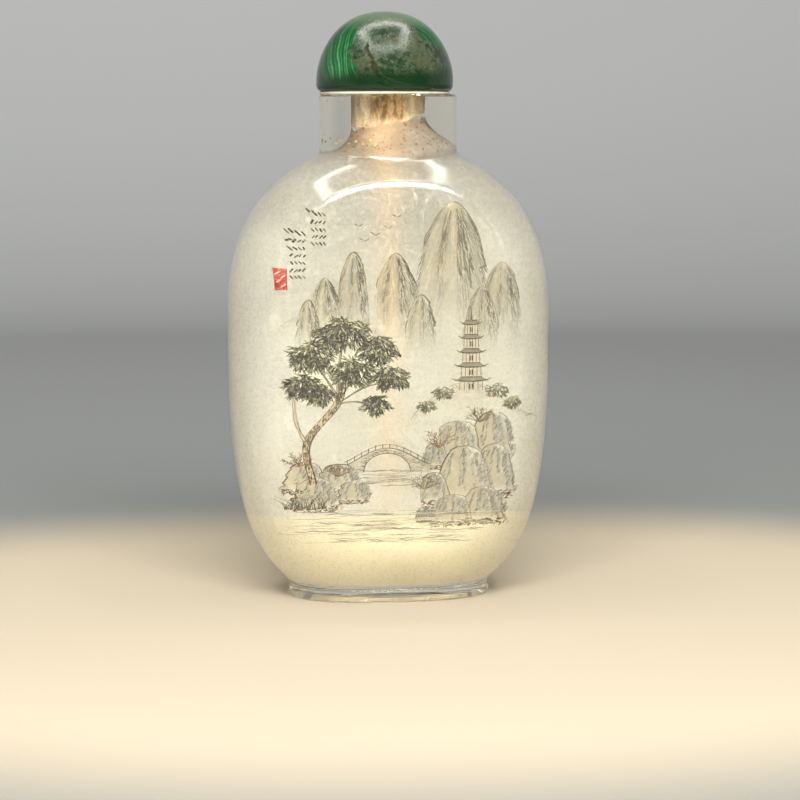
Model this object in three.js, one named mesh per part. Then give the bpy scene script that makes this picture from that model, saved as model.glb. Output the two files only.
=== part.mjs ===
// A glass snuff bottle with a ground interior and a stone-topped stopper. Millimetres, +Z up.
// The origin is the middle of the foot's underside, the two flat faces look along -Y and +Y.
import * as THREE from 'three';

// ---- Driving dimensions, mm ----
const LIP_Z = 68.8; // mouth of the bottle
const COLLAR_TOP_Z = 69.15; // the dome stands on the collar here
const DOME_TOP_Z = 80.05; // whole height

const NECK_RADIUS = 9.4;
const EDGE_BEVEL = 0.25; // small ground bevels at the lip and the foot

const BODY_HALF_WIDTH = 22.05;
const BODY_HALF_DEPTH = 16; // of the full ovoid, before its faces are ground flat
const FACE_DEPTH = 12; // from the middle plane to each flat face
const OVAL_POWER = 2.5; // squareness of a level section
const WIDEST_Z = 38;
// Above and below the widest level: how far the ovoid and its hollow would reach, the powers
// of their curve, and how fast the depth falls off with the width.
const UPPER = { reach: 24.5, hollowReach: 21.6, bulge: 2.56, shoulder: 1.95, thinning: 0.763 };
const LOWER = { reach: 38.2, hollowReach: 33.8, bulge: 3.1, shoulder: 3.6, thinning: 1.12 };
const CREASE = 24; // how sharp the edge of a flat face is
const JOINT = 40; // how sharp the corners at the neck and the foot are

const FOOT_HALF_WIDTH = 13.95;
const FOOT_HALF_DEPTH = 9.3;
const FOOT_POWER = 2.3;
const FOOT_TOP_Z = 3; // wholly inside the body by this height
const BODY_BOTTOM_Z = 1.5; // wholly inside the foot below this height
const NECK_FOOT_Z = 61.6; // and wholly inside the neck above this one
const RECESS_DEPTH = 0.6; // shallow hollow under the foot
const RECESS_SHARE = 0.84; // its edge, as a share of the foot

const WALL = 3; // glass at the sides
const FACE_WALL = 3.2; // glass at the flat faces
const SHOULDER = 10; // how sharp the corners inside the neck are

const BORE_RADIUS = 3.35;
const FLARE_Z = 65.9; // the bore starts to widen here
const FLARE_TILT = 1.1; // higher on the right than on the left
const FLARE_DROP = 3.8; // and this far down it is wider by FLARE_GAIN
const FLARE_GAIN = 1.55;
const FLARE_POWER = 2.7;

const CAP_X = -0.45; // collar and dome are glued on a little off centre
const COLLAR_RADIUS = 8.95;
const DOME_RADIUS = 9.4;
const DOME_WIDEST_Z = 70.9;
const DOME_ROUNDING = 0.95; // of its lower edge
const DOME_POWERS = { across: 2.3, up: 1.75 }; // 2 and 2 would make it half an ellipsoid

const CORK_RADIUS = 3.27;
const CORK_BOTTOM_Z = 59.9;

const SPOON_TIP_Z = 8;
const SPOON_PLACE = [0.3, 2.3]; // x and y of the stick, hung behind the middle
const STICK_HALF = [0.8, 0.4]; // half its width and thickness
const STICK_POWER = 3; // squareness of its section
const STICK_SIDES = 12;
const SCOOP_HALF_WIDTH = 1.5;
const SCOOP_LENGTH = 7;
const SCOOP_WIDEST = 0.45; // share of its length from the tip
const TIP_HALF_WIDTH = 0.3;
const SCOOP_DISH = 0.5; // how far the scoop bends forwards

// ---- Mesh helpers ----

/** Joins rings of equally many points, from the first to the last, and closes both ends with a fan. */
function loft(rings) {
  const sides = rings[0].length;
  const centre = (ring) => {
    const sum = ring.reduce((total, p) => total.map((v, i) => v + p[i]), [0, 0, 0]);
    return sum.map((v) => v / sides);
  };
  const points = [centre(rings[0]), ...rings.flat(), centre(rings.at(-1))];
  const last = points.length - 1;
  const at = (ring, side) => 1 + ring * sides + (side % sides);
  const faces = [];
  for (let side = 0; side < sides; side++) {
    faces.push(0, at(0, side + 1), at(0, side));
    for (let ring = 0; ring < rings.length - 1; ring++) {
      const [a, b] = [at(ring, side), at(ring, side + 1)];
      const [c, d] = [at(ring + 1, side), at(ring + 1, side + 1)];
      faces.push(a, b, c, b, d, c);
    }
    faces.push(last, at(rings.length - 1, side), at(rings.length - 1, side + 1));
  }
  const geometry = new THREE.BufferGeometry();
  geometry.setAttribute('position', new THREE.Float32BufferAttribute(points.flat(), 3));
  geometry.setIndex(faces);
  geometry.computeVertexNormals();
  return geometry;
}

/** Numbers from one value to another, crowded towards the second. */
function steps(from, to, count, crowd = 1) {
  return Array.from({ length: count }, (_, i) => from + (to - from) * (1 - (1 - i / (count - 1)) ** crowd));
}

/** Radius, at an angle, of an oval whose squareness grows with power from 2. */
function oval(angle, halfWidth, halfDepth, power) {
  const across = (Math.abs(Math.cos(angle)) / halfWidth) ** power;
  const through = (Math.abs(Math.sin(angle)) / halfDepth) ** power;
  return (across + through) ** (-1 / power);
}

/** The smaller of two radii, with a corner that is rounder for a lower sharpness. */
function smaller(a, b, sharpness) {
  return (a ** -sharpness + b ** -sharpness) ** (-1 / sharpness);
}

/** The larger of two radii, in the same way. */
function larger(a, b, sharpness) {
  return (a ** sharpness + b ** sharpness) ** (1 / sharpness);
}

// ---- The bottle's form: radii from its axis, at an angle and a height ----

/** An ovoid with its two faces ground flat: the outside of the flask, or with walls its hollow. */
function flaskRadius(angle, z, wall = 0, faceWall = 0) {
  const end = z > WIDEST_Z ? UPPER : LOWER;
  const reach = wall > 0 ? end.hollowReach : end.reach;
  const way = Math.min(1, Math.abs(z - WIDEST_Z) / reach);
  const width = Math.max(1e-4, (1 - way ** end.bulge) ** (1 / end.shoulder));
  const depth = width ** end.thinning;
  const round = oval(angle, (BODY_HALF_WIDTH - wall) * width, (BODY_HALF_DEPTH - wall) * depth, OVAL_POWER);
  const flat = (FACE_DEPTH - faceWall) / Math.max(1e-6, Math.abs(Math.sin(angle)));
  return smaller(round, flat, CREASE);
}

/** The foot's oval, with a bevel or the recess taken off. */
function footRadius(angle, scale = 1, bevel = 0) {
  return oval(angle, FOOT_HALF_WIDTH * scale - bevel, FOOT_HALF_DEPTH * scale - bevel, FOOT_POWER);
}

/** Outside of the glass from the foot to the lip: the ovoid, with the neck and the foot standing out. */
function outsideRadius(angle, z) {
  const flask = flaskRadius(angle, z);
  if (z > WIDEST_Z) return larger(flask, NECK_RADIUS, JOINT);
  return z < FOOT_TOP_Z ? larger(flask, footRadius(angle), JOINT) : flask;
}

/** Inside of the glass: the ground hollow, its shoulder, the flare and the bore. */
function insideRadius(angle, z) {
  const hollow = flaskRadius(angle, z, WALL, FACE_WALL);
  if (z <= WIDEST_Z) return hollow;
  const throat = larger(hollow, NECK_RADIUS - WALL, SHOULDER);
  const start = FLARE_Z + FLARE_TILT * Math.cos(angle);
  const flare = BORE_RADIUS + FLARE_GAIN * (Math.max(0, start - z) / FLARE_DROP) ** FLARE_POWER;
  return smaller(throat, flare, SHOULDER);
}

// ---- The pieces ----

const BOTTLE_SIDES = 52;
const SIDES_TO_CREASES = 0.08; // moves the sides together where the faces are creased

/** A level ring of points whose radius depends on the angle. */
function ring(z, radius, sides = BOTTLE_SIDES) {
  return Array.from({ length: sides }, (_, i) => {
    const turn = (2 * Math.PI * i) / sides;
    const angle = turn + SIDES_TO_CREASES * Math.sin(4 * turn);
    const r = radius(angle, z);
    return [r * Math.cos(angle), r * Math.sin(angle), z];
  });
}

function bottleGeometry() {
  const underside = [
    ring(RECESS_DEPTH, (angle) => footRadius(angle, RECESS_SHARE - 0.2)),
    ring(RECESS_DEPTH * 0.8, (angle) => footRadius(angle, RECESS_SHARE - 0.05)),
    ring(0, (angle) => footRadius(angle, RECESS_SHARE)),
    ring(0, (angle) => footRadius(angle, 1, EDGE_BEVEL)),
    ring(EDGE_BEVEL, (angle) => footRadius(angle)),
  ];
  const lowerBody = steps(WIDEST_Z, BODY_BOTTOM_Z, 15, 2).reverse();
  const upperBody = steps(WIDEST_Z, NECK_FOOT_Z, 18, 1.7).slice(1);
  const outside = [...lowerBody, ...upperBody, LIP_Z - EDGE_BEVEL].map((z) => ring(z, outsideRadius));
  const mouth = [
    ring(LIP_Z, () => NECK_RADIUS - EDGE_BEVEL),
    ring(LIP_Z, () => BORE_RADIUS + EDGE_BEVEL),
    ring(LIP_Z - EDGE_BEVEL, () => BORE_RADIUS),
  ];
  const flare = steps(FLARE_Z + FLARE_TILT, WIDEST_Z + UPPER.hollowReach + 1, 7);
  const upperHollow = steps(WIDEST_Z, WIDEST_Z + UPPER.hollowReach, 12, 1.7).reverse();
  const lowerHollow = steps(WIDEST_Z, WIDEST_Z - LOWER.hollowReach + 0.03, 13, 2.2).slice(1);
  const inside = [...flare, ...upperHollow, ...lowerHollow].map((z) => ring(z, insideRadius));
  return loft([...underside, ...outside, ...mouth, ...inside]);
}

/** Cabochon of stone: flat underneath, a rounded lower edge, then a crown with a broad top. */
function domeGeometry() {
  const points = [new THREE.Vector2(0, COLLAR_TOP_Z)];
  for (const turn of steps(0, 1, 5)) {
    const angle = turn * (Math.PI / 2);
    const r = DOME_RADIUS - DOME_ROUNDING * (1 - Math.sin(angle));
    points.push(new THREE.Vector2(r, COLLAR_TOP_Z + DOME_ROUNDING * (1 - Math.cos(angle))));
  }
  for (const turn of steps(0, 1, 13).slice(0, -1)) {
    const angle = turn * (Math.PI / 2);
    const r = DOME_RADIUS * Math.cos(angle) ** (2 / DOME_POWERS.across);
    const rise = (DOME_TOP_Z - DOME_WIDEST_Z) * Math.sin(angle) ** (2 / DOME_POWERS.up);
    points.push(new THREE.Vector2(r, DOME_WIDEST_Z + rise));
  }
  points.push(new THREE.Vector2(0, DOME_TOP_Z));
  return new THREE.LatheGeometry(points, 36).rotateX(Math.PI / 2).translate(CAP_X, 0, 0);
}

/** A disc whose edge is rounded over its whole height. */
function collarGeometry() {
  const half = (COLLAR_TOP_Z - LIP_Z) / 2;
  const edge = steps(-1, 1, 5).map((turn) => {
    const angle = (turn * Math.PI) / 2;
    const r = COLLAR_RADIUS - half * (1 - Math.cos(angle));
    return new THREE.Vector2(r, LIP_Z + half * (1 + Math.sin(angle)));
  });
  const profile = [new THREE.Vector2(0, LIP_Z), ...edge, new THREE.Vector2(0, COLLAR_TOP_Z)];
  return new THREE.LatheGeometry(profile, 32).rotateX(Math.PI / 2).translate(CAP_X, 0, 0);
}

/** A plug that fills the bore and hangs into the flare, a little slimmer at its lower end. */
function corkGeometry() {
  const profile = [
    [0, CORK_BOTTOM_Z],
    [CORK_RADIUS * 0.9, CORK_BOTTOM_Z],
    [CORK_RADIUS * 0.96, CORK_BOTTOM_Z + 0.4],
    [CORK_RADIUS, FLARE_Z - FLARE_TILT],
    [CORK_RADIUS, LIP_Z],
    [0, LIP_Z],
  ].map(([r, z]) => new THREE.Vector2(r, z));
  return new THREE.LatheGeometry(profile, 28).rotateX(Math.PI / 2);
}

/** A flat stick with a small scoop, dished forwards, hung from the underside of the cork. */
function spoonGeometry() {
  const [x, y] = SPOON_PLACE;
  const section = (z, halfWidth, halfThickness, dish) => {
    const outline = ring(z, (angle) => oval(angle, halfWidth, halfThickness, STICK_POWER), STICK_SIDES);
    return outline.map((p) => [p[0] + x, p[1] + y - dish, p[2]]);
  };
  const scoop = steps(0, 1, 14).map((way) => {
    // A quarter circle out from the tip to the widest place, then half a wave in to the stick.
    const rise = Math.min(1, way / SCOOP_WIDEST);
    const fall = Math.max(0, (way - SCOOP_WIDEST) / (1 - SCOOP_WIDEST));
    const width = STICK_HALF[0] + (SCOOP_HALF_WIDTH - STICK_HALF[0]) * (0.5 + 0.5 * Math.cos(Math.PI * fall));
    const halfWidth = Math.max(TIP_HALF_WIDTH, width * Math.sqrt(1 - (1 - rise) ** 2));
    const dish = SCOOP_DISH * Math.sin(Math.PI * way) ** 2;
    return section(SPOON_TIP_Z + SCOOP_LENGTH * way, halfWidth, STICK_HALF[1], dish);
  });
  const top = section(CORK_BOTTOM_Z, ...STICK_HALF, 0);
  return loft([...scoop, top]);
}

function piece(name, geometry, color, roughness, extra = {}) {
  const material = new THREE.MeshStandardMaterial({ color, roughness, metalness: 0, ...extra });
  const mesh = new THREE.Mesh(geometry, material);
  mesh.name = name;
  return mesh;
}

const snuffBottle = new THREE.Group();
snuffBottle.add(
  piece('bottle', bottleGeometry(), 0xd3d2c4, 0.05, { transparent: true, opacity: 0.5 }),
  piece('cork', corkGeometry(), 0xa9794f, 0.9),
  piece('spoon', spoonGeometry(), 0xd8b98a, 0.6),
  piece('collar', collarGeometry(), 0xe6dfcc, 0.6),
  piece('dome', domeGeometry(), 0x125a33, 0.2),
);

export default snuffBottle;
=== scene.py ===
"""A flattened glass snuff bottle, ground and painted inside, with a corked stopper under a stone dome."""

import math

import bpy
import numpy as np
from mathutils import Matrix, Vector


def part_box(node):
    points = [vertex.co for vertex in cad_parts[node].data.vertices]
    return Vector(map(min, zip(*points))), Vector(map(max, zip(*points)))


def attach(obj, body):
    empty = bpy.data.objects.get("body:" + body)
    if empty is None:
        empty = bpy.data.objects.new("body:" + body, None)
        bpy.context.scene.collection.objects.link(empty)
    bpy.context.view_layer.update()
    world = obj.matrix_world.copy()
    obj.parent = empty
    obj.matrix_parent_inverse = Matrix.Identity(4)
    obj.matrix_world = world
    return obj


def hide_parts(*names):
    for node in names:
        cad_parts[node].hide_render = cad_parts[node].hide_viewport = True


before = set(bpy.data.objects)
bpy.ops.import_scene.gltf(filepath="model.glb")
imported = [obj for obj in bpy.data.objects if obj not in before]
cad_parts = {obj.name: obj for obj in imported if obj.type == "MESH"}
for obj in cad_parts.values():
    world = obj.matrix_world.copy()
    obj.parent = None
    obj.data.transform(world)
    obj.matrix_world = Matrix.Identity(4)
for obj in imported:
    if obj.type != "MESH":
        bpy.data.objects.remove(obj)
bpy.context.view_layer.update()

# ---- The bottle's glass ----
# One piece of clear glass, blown in a mould: a flattened ovoid with a round neck and an oval foot.
# Its two faces, the lip and the foot are ground flat and polished. The hollow is ground dull with
# sand and grit up into the flare, so that paint holds on it, and only the bore stays clear.

MM = 0.001
bottle_high = np.array(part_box("bottle")[1]) / MM
LIP_Z = bottle_high[2]
BODY_HALF_WIDTH = bottle_high[0]
FACE_DEPTH = bottle_high[1]  # from the middle plane to each flat face
NECK_RADIUS = 9.4
EDGE_BEVEL = 0.25
BODY_HALF_DEPTH = 4 / 3 * FACE_DEPTH  # of the full ovoid, before its faces are ground flat
OVAL_POWER = 2.5  # squareness of a level section
WIDEST_Z = 38.0
# Above and below the widest level: how far the ovoid and its hollow would reach, the powers
# of their curve, and how fast the depth falls off with the width.
UPPER = dict(reach=24.5, hollow_reach=21.6, bulge=2.56, shoulder=1.95, thinning=0.763)
LOWER = dict(reach=38.2, hollow_reach=33.8, bulge=3.1, shoulder=3.6, thinning=1.12)
SIDE_CREASE = 14  # how sharp the edge of a flat face is at its sides
TOP_CREASE = 60  # and at its top
CREASE_Z = (44.0, 54.0)  # between which it goes from one to the other
JOINT = 40  # how sharp the corners at the neck and the foot are
FOOT_HALF_WIDTH = 13.95
FOOT_HALF_DEPTH = 9.3
FOOT_POWER = 2.3
FOOT_TOP_Z = 3.0
BODY_BOTTOM_Z = 1.5
NECK_FOOT_Z = 61.6
RECESS_DEPTH = 0.6
RECESS_SHARE = 0.84
WALL = 3.0
THROAT_RADIUS = 6.4
FACE_WALL = 3.2
THROAT_Z = (40.0, 50.0)  # between which the hollow passes into the throat
SHOULDER = 10  # how sharp the corners inside the neck are
BORE_RADIUS = 3.35
FLARE_Z = 65.9
FLARE_TILT = 1.1
FLARE_DROP = 3.8
FLARE_GAIN = 1.55
FLARE_POWER = 2.7
GROUND_TOP_Z = 65.0  # the grinding stops about here, at the end of the bore
GROUND_TOP_TILT = 0.8
FACE_TOP_Z = 55.6  # the painted face has evenly spaced rows from here down
FACE_BOTTOM_Z = 8.0
FACE_STEP = 0.4
SIDES = 256
SIDES_TO_CREASES = 0.08
GLASS_TINT = (0.99, 0.97, 0.885)
POLISH = 0.025  # the roughness of the clear glass
WEAR = 0.15  # and how much rougher it is over the shoulder
WEAR_BEGINS = (0.0530, 0.0560)  # metres up
WEAR_ENDS = (0.0620, 0.0612)
SHARP_ANGLE = math.radians(40.0)


def oval(angle, half_width, half_depth, power):
    """An oval's radius: cosine over half width and sine over half depth, power-summed, to -1 over power."""
    across = (np.abs(np.cos(angle)) / half_width) ** power
    through = (np.abs(np.sin(angle)) / half_depth) ** power
    return (across + through) ** (-1 / power)


def smaller(a, b, sharpness):
    """The smaller of two radii: their minus-power sum, which rounds the corner between them."""
    return (a**-sharpness + b**-sharpness) ** (-1 / sharpness)


def larger(a, b, sharpness):
    """The larger of two radii: their power sum, which rounds the corner between them."""
    return (a**sharpness + b**sharpness) ** (1 / sharpness)


def soft_step(value, low, high):
    """0 below low and 1 above high, with a smooth cubic between."""
    share = np.clip((value - low) / (high - low), 0, 1)
    return share * share * (3 - 2 * share)


def flask_radius(angle, z, wall=0.0, face_wall=0.0):
    """An ovoid cut by two flats, its width 1 minus a power of the way from the widest level to its end."""
    end = {key: np.where(z > WIDEST_Z, UPPER[key], LOWER[key]) for key in UPPER}
    reach = end["hollow_reach"] if wall > 0 else end["reach"]
    way = np.minimum(1.0, np.abs(z - WIDEST_Z) / reach)
    width = np.maximum(1e-4, (1 - way ** end["bulge"]) ** (1 / end["shoulder"]))
    depth = width ** end["thinning"]
    rounded = oval(angle, (BODY_HALF_WIDTH - wall) * width, (BODY_HALF_DEPTH - wall) * depth, OVAL_POWER)
    flat = (FACE_DEPTH - face_wall) / np.maximum(1e-6, np.abs(np.sin(angle)))
    return smaller(rounded, flat, SIDE_CREASE + (TOP_CREASE - SIDE_CREASE) * soft_step(z, *CREASE_Z))


def foot_radius(angle, scale=1.0, bevel=0.0):
    """The foot's oval, scaled, with a bevel taken off."""
    return oval(angle, FOOT_HALF_WIDTH * scale - bevel, FOOT_HALF_DEPTH * scale - bevel, FOOT_POWER)


def outside_radius(angle, z):
    """The ovoid, with the neck standing out of its top and the foot out of its bottom."""
    flask = flask_radius(angle, z)
    footed = np.where(z < FOOT_TOP_Z, larger(flask, foot_radius(angle), JOINT), flask)
    return np.where(z > WIDEST_Z, larger(flask, NECK_RADIUS, JOINT), footed)


def inside_radius(angle, z):
    """The hollow, then its shoulder, and a flare that widens from the bore as a power of the way down."""
    hollow = flask_radius(angle, z, WALL, FACE_WALL)
    throat = larger(hollow, THROAT_RADIUS, SHOULDER)
    start = FLARE_Z + FLARE_TILT * np.cos(angle)
    flare = BORE_RADIUS + FLARE_GAIN * (np.maximum(0, start - z) / FLARE_DROP) ** FLARE_POWER
    return hollow + (smaller(throat, flare, SHOULDER) - hollow) * soft_step(z, *THROAT_Z)


def steps(start, stop, count, crowd=1.0):
    """Numbers from start to stop, crowded towards stop by a power."""
    return start + (stop - start) * (1 - (1 - np.linspace(0, 1, count)) ** crowd)


def turns(sides, shift=0.0):
    """Angles once round, moved together by a sine of four times the angle."""
    turn = 2 * np.pi * np.arange(sides) / sides
    return turn + shift * np.sin(4 * turn)


def ring(z, radius, sides=SIDES, shift=SIDES_TO_CREASES):
    """Points once round the axis, at radius(angle, z), at one height."""
    angle = turns(sides, shift)
    r = radius(angle, np.full(sides, z)) * np.ones(sides)
    return np.stack([r * np.cos(angle), r * np.sin(angle), np.full(sides, z)], -1)


def mesh_object(name, points, faces):
    """A new object in the scene, from points in millimetres and the numbers of the points round each face."""
    mesh = bpy.data.meshes.new(name)
    mesh.from_pydata((points * MM).tolist(), [], faces)
    made = bpy.data.objects.new(name, mesh)
    bpy.context.scene.collection.objects.link(made)
    return made


def neighbours(count, sides):
    """For every ring but the last, the numbers of each point and of the next one round."""
    row, side = (index.ravel() for index in np.mgrid[0 : count - 1, 0:sides])
    return row * sides + side, row * sides + (side + 1) % sides


def fan(middle, a, b):
    """Triangles from a middle point to each edge from a to b."""
    return np.stack([np.full(len(a), middle), a, b], -1).tolist()


def solid(name, rings):
    """A closed mesh: quads between neighbouring rings, and a fan to the middle of each end ring."""
    rings = np.asarray(rings)
    count, sides = rings.shape[:2]
    a, b = neighbours(count, sides)
    quads = np.stack([a, b, b + sides, a + sides], -1).tolist()
    around, after = neighbours(2, sides)
    top = (count - 1) * sides
    ends = fan(count * sides, after, around) + fan(count * sides + 1, top + around, top + after)
    made = mesh_object(name, np.concatenate([rings.reshape(-1, 3), rings[[0, -1]].mean(1)]), quads + ends)
    made.data.shade_smooth()
    made.data.set_sharp_from_angle(angle=SHARP_ANGLE)
    return made


class Socket:
    """A node's output. An operator on it adds a Math node, so numbers over a surface read as a formula."""

    def __init__(self, shader, socket):
        self.shader = shader
        self.socket = socket

    def maths(self, operation, *others):
        return self.shader.node("Math", {"operation": operation}, dict(enumerate((self, *others))))

    def __add__(self, other):
        return self.maths("ADD", other)

    def __sub__(self, other):
        return self.maths("SUBTRACT", other)

    def __rsub__(self, other):
        return self.shader.node("Math", {"operation": "SUBTRACT"}, {0: other, 1: self})

    def __mul__(self, other):
        return self.maths("MULTIPLY", other)

    def __pow__(self, other):
        return self.maths("POWER", other)

    __radd__ = __add__
    __rmul__ = __mul__


class Finish:
    """The nodes of one new material."""

    def __init__(self, name):
        self.material = bpy.data.materials.new(name)
        self.material.use_nodes = True
        self.tree = self.material.node_tree
        self.tree.nodes.clear()

    def node(self, kind, settings=None, values=None, output=0):
        """Adds a node: its settings first, then a number, a colour or a link for each named socket."""
        made = self.tree.nodes.new("ShaderNode" + kind)
        for name, value in (settings or {}).items():
            if name == "stops":
                elements = made.color_ramp.elements
                while len(elements) < len(value):
                    elements.new(1.0)
                for element, (place, colour) in zip(elements, value):
                    element.position = place
                    element.color = (*colour, 1.0)
            else:
                setattr(made, name, value)
        for name, value in (values or {}).items():
            if isinstance(value, Socket):
                self.tree.links.new(value.socket, made.inputs[name])
            elif isinstance(value, tuple) and made.inputs[name].type == "RGBA":
                made.inputs[name].default_value = (*value, 1.0)
            else:
                made.inputs[name].default_value = value
        return Socket(self, made.outputs[output])

    def place(self):
        """Where a point lies on the object, in metres."""
        return self.node("TexCoord", output="Object")

    def axis(self, vector, name):
        """A vector's part along X, Y or Z."""
        return self.node("SeparateXYZ", {}, {"Vector": vector}, name)

    def distance(self, vector, point):
        """How far a vector is from a point."""
        return self.node("VectorMath", {"operation": "DISTANCE"}, {0: vector, 1: point}, "Value")

    def stretched(self, vector, scale):
        """A vector scaled along each axis, to stretch a pattern."""
        return self.node("Mapping", {}, {"Vector": vector, "Scale": scale})

    def noise(self, vector, scale, detail=3.0, roughness=0.5):
        """Fractal noise from 0 to 1, with scale in cells per metre."""
        values = {"Vector": vector, "Scale": scale, "Detail": detail, "Roughness": roughness}
        return self.node("TexNoise", {}, values)

    def cells(self, vector, scale):
        """The distance to the nearest of many scattered points, for crumbs, pores and pits."""
        return self.node("TexVoronoi", {}, {"Vector": vector, "Scale": scale})

    def between(self, value, low, high):
        """A value taken from low to high onto 0 to 1, with soft ends."""
        values = {"Value": value, "From Min": low, "From Max": high}
        return self.node("MapRange", {"interpolation_type": "SMOOTHSTEP"}, values)

    def mix(self, factor, a, b):
        """Two colours mixed by a factor."""
        return self.node("Mix", {"data_type": "RGBA"}, {0: factor, 6: a, 7: b}, output=2)

    def bump(self, height, strength, distance):
        """A normal tilted by a height, which is in units of distance."""
        return self.node("Bump", {}, {"Height": height, "Strength": strength, "Distance": distance})

    def finish(self, shader):
        """Sends a shader to the material's surface, and gives back the material."""
        end = self.tree.nodes.new("ShaderNodeOutputMaterial")
        self.tree.links.new(shader.socket, end.inputs["Surface"])
        return self.material

    def principled(self, values):
        """The material, finished with one principled surface of these values."""
        return self.finish(self.node("BsdfPrincipled", {}, values))


def bottle_rings():
    """From the middle of the recess under the foot, out and up to the lip, then down inside to the bottom."""
    under = [
        ring(RECESS_DEPTH, lambda angle, z: foot_radius(angle, RECESS_SHARE - 0.2)),
        ring(RECESS_DEPTH * 0.8, lambda angle, z: foot_radius(angle, RECESS_SHARE - 0.05)),
        ring(0.0, lambda angle, z: foot_radius(angle, RECESS_SHARE)),
        ring(0.0, lambda angle, z: foot_radius(angle, 1, EDGE_BEVEL)),
        ring(EDGE_BEVEL, lambda angle, z: foot_radius(angle)),
    ]
    lower_body = steps(WIDEST_Z, BODY_BOTTOM_Z, 46, 2)[::-1]
    upper_body = steps(WIDEST_Z, NECK_FOOT_Z, 52, 1.7)[1:]
    neck = np.linspace(NECK_FOOT_Z, LIP_Z - EDGE_BEVEL, 5)[1:]
    outside = [ring(z, outside_radius) for z in (*lower_body, *upper_body, *neck)]
    mouth = [
        ring(LIP_Z, lambda angle, z: NECK_RADIUS - EDGE_BEVEL),
        ring(LIP_Z, lambda angle, z: BORE_RADIUS + EDGE_BEVEL),
        ring(LIP_Z - EDGE_BEVEL, lambda angle, z: BORE_RADIUS),
    ]
    hollow_top = WIDEST_Z + UPPER["hollow_reach"]
    hollow_bottom = WIDEST_Z - LOWER["hollow_reach"] + 0.03
    flare = np.linspace(FLARE_Z + FLARE_TILT, hollow_top + 0.3, 30)
    face = np.arange(FACE_TOP_Z, FACE_BOTTOM_Z, -FACE_STEP)
    upper_hollow = steps(FACE_TOP_Z, hollow_top, 22, 2.0)[:0:-1]
    lower_hollow = steps(FACE_BOTTOM_Z, hollow_bottom, 26, 2.2)
    inside = [ring(z, inside_radius) for z in (*flare, *upper_hollow, *face, *lower_hollow)]
    return np.array(under + outside + mouth + inside), len(under + outside + mouth)


def clear_glass():
    """Clear polished glass, faintly uneven as moulded glass is, and worn less clear over the shoulder."""
    look = Finish("clear_glass")
    place = look.place()
    height = look.axis(place, "Z")
    waves = look.noise(place, 90.0, detail=1.0)
    worn = look.between(height, *WEAR_BEGINS) * look.between(height, *WEAR_ENDS)
    values = {"Base Color": GLASS_TINT, "Roughness": POLISH + WEAR * worn, "IOR": 1.5}
    return look.principled(values | {"Transmission Weight": 1.0, "Normal": look.bump(waves, 0.25, 0.0002)})


def ground_wall():
    """Glass ground dull, under the paint in the mesh's colours: it scatters light, and lets some by."""
    look = Finish("ground_wall")
    place = look.place()
    paint = look.node("VertexColor", {"layer_name": "paint"})
    bare = look.node("VertexColor", {"layer_name": "paint"}, output="Alpha")
    grain = look.noise(place, 3000.0, detail=2.0, roughness=0.7)
    scratches = look.noise(place, 1500.0, detail=3.0)
    clouds = look.noise(place, 110.0, detail=3.0)
    colour = look.mix(look.between(grain, 0.45, 0.72) * 0.5, paint, (0.38, 0.36, 0.28))
    colour = look.mix(look.between(scratches, 0.5, 0.72) * bare * 0.4, colour, (1.0, 0.99, 0.93))
    colour = look.mix(look.between(clouds, 0.45, 0.75) * bare * 0.12, colour, (1.0, 0.98, 0.92))
    crumbs = look.between(look.cells(place, 1700.0) + scratches * 0.6, 0.58, 0.42)
    crumbs = crumbs * look.between(look.axis(place, "Z"), 0.0592, 0.0618)
    colour = look.mix(crumbs * 0.9, colour, (0.20, 0.10, 0.025))
    values = {"Base Color": colour, "Roughness": 1.0, "Specular IOR Level": 0.0}
    painted = look.node("BsdfPrincipled", {}, values | {"Normal": look.bump(grain, 0.8, 0.00006)})
    through = look.node("BsdfTranslucent", {}, {"Color": (0.95, 0.94, 0.90)})
    thin = bare * (0.36 + 0.28 * look.between(grain, 0.65, 0.35)) * (1 - crumbs)
    return look.finish(look.node("MixShader", {}, {0: thin, 1: painted, 2: through}))


CREAM = np.array([0.58, 0.585, 0.545])
# Painted light: the wall is painted paler to its sides, for the glow of light through them.
EDGE_GLOW_CREAM = np.array([0.60, 0.605, 0.58])
# Painted light: a warm glow painted low on the wall, for light from below.
WARM_GLOW = np.array([1.00, 0.90, 0.62])
STAIN = np.array([0.25, 0.14, 0.060])
# Painted light: a peach glow down the front wall, where the spoon behind it shows through the ground glass.
SPOON_GLOW_PEACH = np.array([0.78, 0.55, 0.33])
# Painted shade: the wall is painted darker over the upper body and the shoulder.
SHOULDER_SHADE_CREAM = np.array([0.22, 0.216, 0.198])
# The spoon's painted glow is centred along this line.
STREAK_X = -1.4  # where the spoon behind the front wall shows through it
STREAK_WIDTH = 1.9
STAIN_WIDTH = 5.0  # of the stain under the neck


def blended(under, over, share):
    """Two sets of colours mixed by a share at each point."""
    return under + (over - under) * share[..., None]


def by_streak(x, width):
    """1 at the streak, falling off to both sides as a bell curve of a width."""
    return np.exp(-(((x - STREAK_X) / width) ** 2))


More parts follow.
